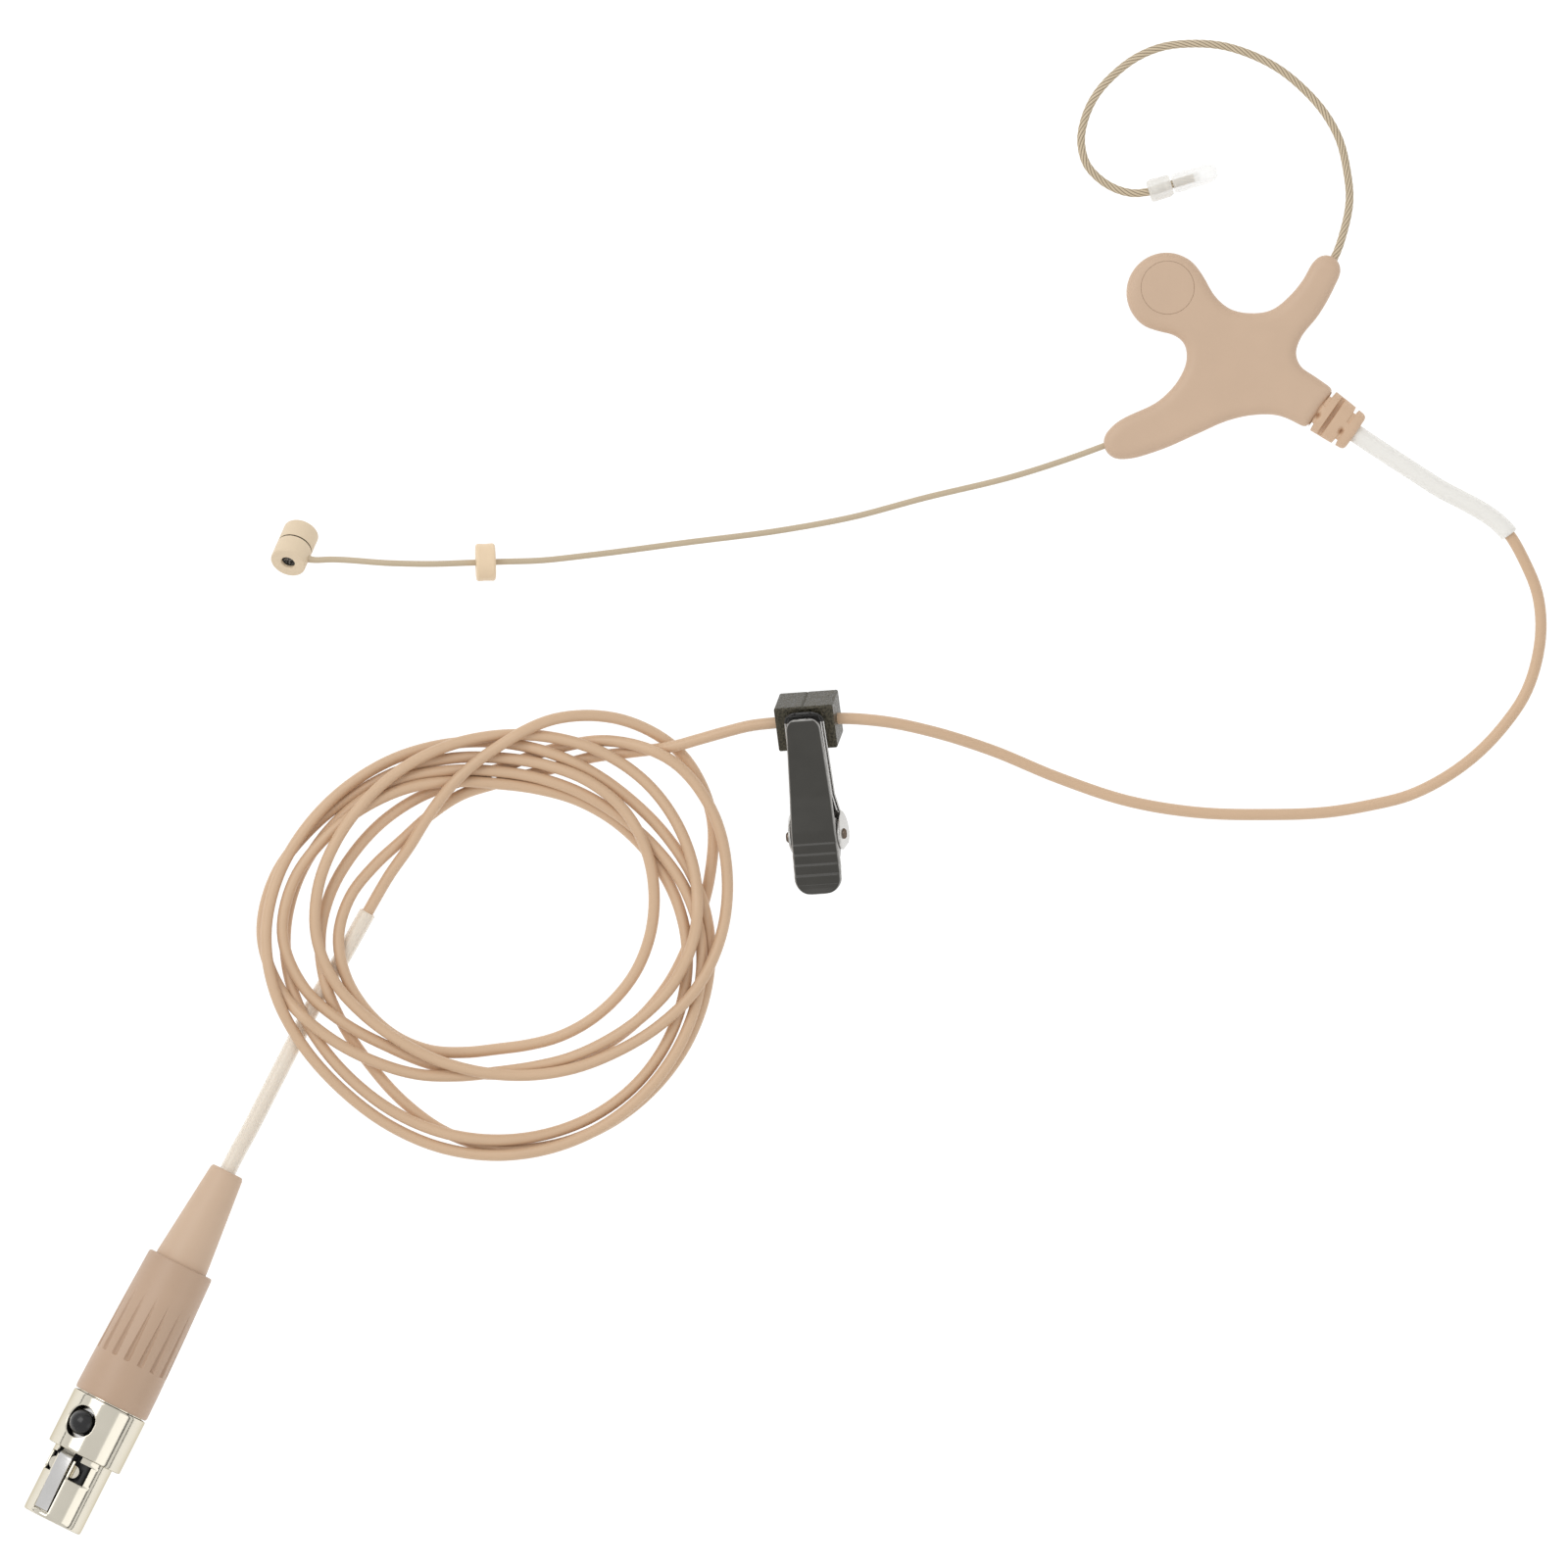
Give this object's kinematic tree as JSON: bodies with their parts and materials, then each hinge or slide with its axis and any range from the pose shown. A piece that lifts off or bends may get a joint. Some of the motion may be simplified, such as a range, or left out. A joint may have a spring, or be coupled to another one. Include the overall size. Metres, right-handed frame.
{
  "type": "headset microphone",
  "caption": "Single-ear headset microphone: capsule on a thin formed boom, X-shaped cheek body with a bendable ear hook, coiled cable with a clothing clip, miniature latching plug.",
  "frame": {"origin": "on the flat skin side of the X-shaped body, at the middle of the X", "axes": "+Z out of the skin face, away from the face of the person who wears it; +X from the capsule towards the cable's exit; +Y from the plug towards the ear hook"},
  "size_m": [0.1989, 0.1954, 0.0118],
  "materials": {
    "tan_plastic": "soft matte, moulded",
    "strain_relief_rubber": "matte, soft",
    "boom_coating": "thin coating on spring wire, satin",
    "cream_silicone": "translucent silicone",
    "clear_sleeve": "clear tubing",
    "clear_tip": "clear silicone",
    "hook_rope_strands": "twisted coated strands",
    "cable_jacket": "satin jacket",
    "dark_mesh": "fine dark mesh",
    "element_can": "plain can",
    "block_rubber": "black, matte",
    "black_lacquer": "black lacquer, satin",
    "clip_chrome": "bright plating",
    "boot_rubber": "matte beige",
    "grip_plastic": "matte beige",
    "connector_nickel": "satin nickel plating",
    "latch_steel": "bright spring steel",
    "insert_plastic": "black",
    "button_plastic": "glossy black",
    "contact_brass": "gold-coloured plating",
    "hidden_brass": "plain",
    "hidden_resin": "potting resin"
  },
  "bodies": {
    "headset": {"mic_front_cap": "tan_plastic", "mic_rear_cap": "tan_plastic", "body_back_shell": "tan_plastic", "body_front_shell": "tan_plastic", "paddle_inlay": "tan_plastic", "strain_relief": "strain_relief_rubber", "boom_wire": "boom_coating", "upper_sleeve": "clear_sleeve", "lower_sleeve": "clear_sleeve", "hook_sleeve": "clear_tip", "hook_tip": "clear_tip", "hook_rope": "hook_rope_strands", "cable_upper": "cable_jacket", "cable_coil": "cable_jacket", "cable_lower": "cable_jacket", "mic_mesh": "dark_mesh", "mic_element": "element_can", "clip_block": "block_rubber", "clip_lower_jaw": "clip_chrome", "clip_pin": "clip_chrome", "clip_spring": "clip_chrome", "plug_boot": "boot_rubber", "plug_grip": "grip_plastic", "plug_shell": "connector_nickel", "plug_nose": "connector_nickel", "plug_insert": "insert_plastic", "plug_contact_1": "contact_brass", "plug_contact_2": "contact_brass", "plug_contact_3": "contact_brass", "boom_ferrule": "hidden_brass", "hook_ferrule": "hidden_brass", "joint_block": "hidden_resin", "boom_leads": "hidden_resin", "cable_leads": "hidden_resin", "plug_clamp": "hidden_resin"},
    "boom_ring": {"boom_ring": "cream_silicone"},
    "clip_lever": {"clip_lever": "black_lacquer"},
    "plug_latch": {"plug_latch": "latch_steel"},
    "plug_button": {"plug_button": "button_plastic"}
  },
  "joints": [
    {"name": "boom_ring_slide", "type": "slide", "parent": "headset", "child": "boom_ring", "axis": [0.9982, 0.0321, -0.0499], "range_m": [-0.003, 0.003]},
    {"name": "clip_lever_hinge", "type": "hinge", "parent": "headset", "child": "clip_lever", "pos_m": [-0.05578, -0.06123, 0.00656], "axis": [0.9836, 0.0688, 0.1668], "range_deg": [0, 28], "stiffness_Nm_per_rad": 0.02, "springref_deg": -14.32, "deforming": ["clip_spring"]},
    {"name": "plug_latch_hinge", "type": "hinge", "parent": "headset", "child": "plug_latch", "pos_m": [-0.14837, -0.13192, 0.00852], "axis": [0.7698, -0.3871, 0.5075], "range_deg": [0, 3], "stiffness_Nm_per_rad": 0.003, "springref_deg": -2.86},
    {"name": "plug_button_slide", "type": "slide", "parent": "headset", "child": "plug_button", "axis": [0.4534, -0.228, -0.8616], "range_m": [0, 0.000355]}
  ],
  "couplings": [
    {"joint": "plug_latch_hinge", "follows": "plug_button_slide", "rad_per_m": 147.06}
  ]
}
